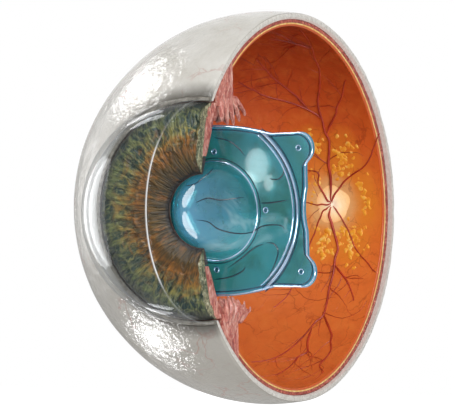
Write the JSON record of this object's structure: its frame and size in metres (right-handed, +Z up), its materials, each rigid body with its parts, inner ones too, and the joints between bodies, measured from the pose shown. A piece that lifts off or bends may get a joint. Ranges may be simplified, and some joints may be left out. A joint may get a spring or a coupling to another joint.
{
  "type": "eye anatomy model",
  "caption": "Cut-away eyeball teaching model at five times life size, with lift-off clear cornea, lift-out iris, slide-out plate lens implant and an optic nerve stub for a stand.",
  "frame": {"origin": "centre of the cut end of the optic nerve, on the nerve's axis", "axes": "+X square to the cut face and out of it, -Y forward along the eye's axis towards the cornea, +Z up"},
  "size_m": [0.1041, 0.1567, 0.12],
  "materials": {
    "sclera": "glossy off-white, faint pink capillaries",
    "choroid": "satin dark red, mottled",
    "retina": "glossy orange, darker to the top",
    "optic_disc": "glossy pale cream",
    "optic_nerve": "satin pale yellow",
    "nerve_sheath": "satin off-white",
    "central_artery": "satin red",
    "central_vein": "satin dark blue",
    "retinal_vessel": "glossy dark red",
    "lipid_deposits": "glossy amber yellow",
    "ciliary_body": "satin pink-red, fibrous",
    "ciliary_processes": "glossy pink",
    "limbus_ring": "satin dark brown",
    "iris_stroma": "satin green to orange-brown, radial fibres",
    "iris_muscle": "satin pink-red, fibrous",
    "pupil_sphincter": "satin pink",
    "cornea": "clear, high gloss",
    "phakic_lens": "clear pale blue, high gloss"
  },
  "bodies": {
    "globe": {"sclera": "sclera", "choroid": "choroid", "retina": "retina", "optic_disc": "optic_disc", "optic_nerve": "optic_nerve", "nerve_sheath": "nerve_sheath", "central_artery": "central_artery", "central_vein": "central_vein", "superior_vessels": "retinal_vessel", "inferior_vessels": "retinal_vessel", "nasal_vessels": "retinal_vessel", "temporal_vessels": "retinal_vessel", "lipid_deposits": "lipid_deposits", "ciliary_body": "ciliary_body", "ciliary_processes": "ciliary_processes", "limbus_ring": "limbus_ring"},
    "iris_unit": {"iris_stroma": "iris_stroma", "iris_muscle": "iris_muscle", "pupil_sphincter": "pupil_sphincter"},
    "cornea_cap": {"cornea": "cornea"},
    "lens_plate": {"phakic_lens": "phakic_lens"}
  },
  "joints": [
    {"name": "iris_lift", "type": "slide", "parent": "globe", "child": "iris_unit", "axis": [0.1132, -0.9936, 0], "range_m": [0, 0.04]},
    {"name": "cornea_lift", "type": "slide", "parent": "iris_unit", "child": "cornea_cap", "axis": [0.1132, -0.9936, 0], "range_m": [0, 0.045]},
    {"name": "lens_slide", "type": "slide", "parent": "globe", "child": "lens_plate", "axis": [1, 0, 0], "range_m": [0, 0.06]}
  ]
}
